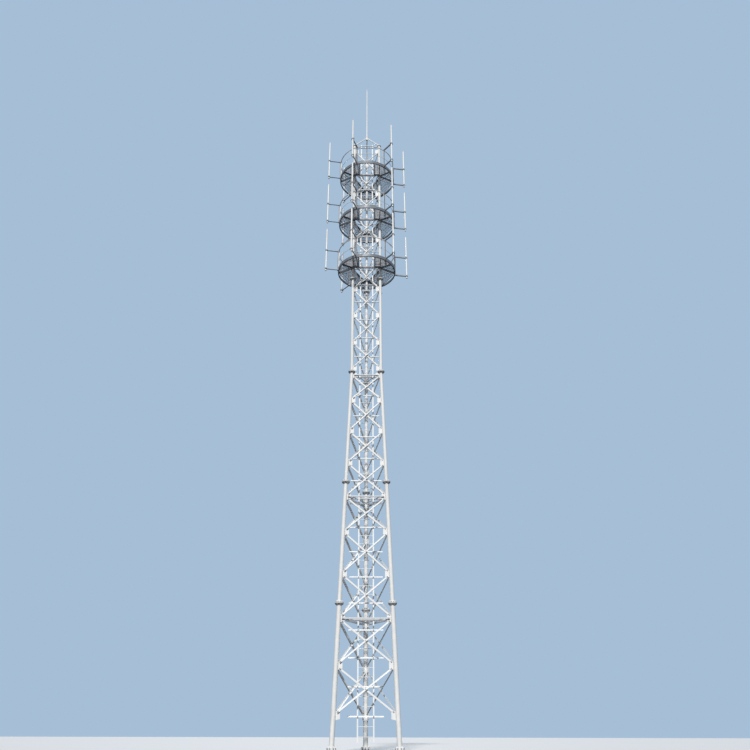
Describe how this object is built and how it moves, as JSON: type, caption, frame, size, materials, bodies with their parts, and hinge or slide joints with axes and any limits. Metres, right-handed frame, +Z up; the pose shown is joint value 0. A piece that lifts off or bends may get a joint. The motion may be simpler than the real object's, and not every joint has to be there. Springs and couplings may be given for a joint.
{
  "type": "three-legged tubular tower",
  "caption": "Slender three-legged tube tower with cross-braced faces, inner ladder, round antenna platforms and a lightning rod.",
  "frame": {"origin": "centre of the rear leg's base flange, on its underside", "axes": "+Z up; the face with the ladder looks towards -Y; X runs across that face"},
  "size_m": [4.0508, 3.8341, 33.4],
  "materials": {
    "painted_steel": "satin",
    "galvanised_steel": "satin"
  },
  "bodies": {
    "root": {"leg_section_1": "painted_steel", "leg_section_2": "painted_steel", "leg_section_3": "painted_steel", "leg_section_4": "painted_steel", "leg_section_5": "painted_steel", "front_bracing_lower": "painted_steel", "left_bracing_lower": "painted_steel", "right_bracing_lower": "painted_steel", "front_bracing_upper": "painted_steel", "left_bracing_upper": "painted_steel", "right_bracing_upper": "painted_steel", "diaphragm_1": "galvanised_steel", "diaphragm_2": "galvanised_steel", "diaphragm_3": "galvanised_steel", "ladder_lower": "painted_steel", "ladder_middle": "painted_steel", "ladder_upper": "painted_steel", "ladder_arms": "painted_steel", "ladder_tied_arms": "painted_steel", "platform_1_frame": "galvanised_steel", "platform_1_floor": "galvanised_steel", "platform_1_rail": "painted_steel", "platform_1_brackets": "galvanised_steel", "platform_1_poles": "painted_steel", "platform_2_frame": "galvanised_steel", "platform_2_floor": "galvanised_steel", "platform_2_rail": "painted_steel", "platform_2_brackets": "galvanised_steel", "platform_2_poles": "painted_steel", "platform_3_frame": "galvanised_steel", "platform_3_floor": "galvanised_steel", "platform_3_rail": "painted_steel", "platform_3_brackets": "galvanised_steel", "platform_3_poles": "painted_steel", "top_cap": "painted_steel", "lightning_rod": "galvanised_steel"}
  },
  "joints": []
}
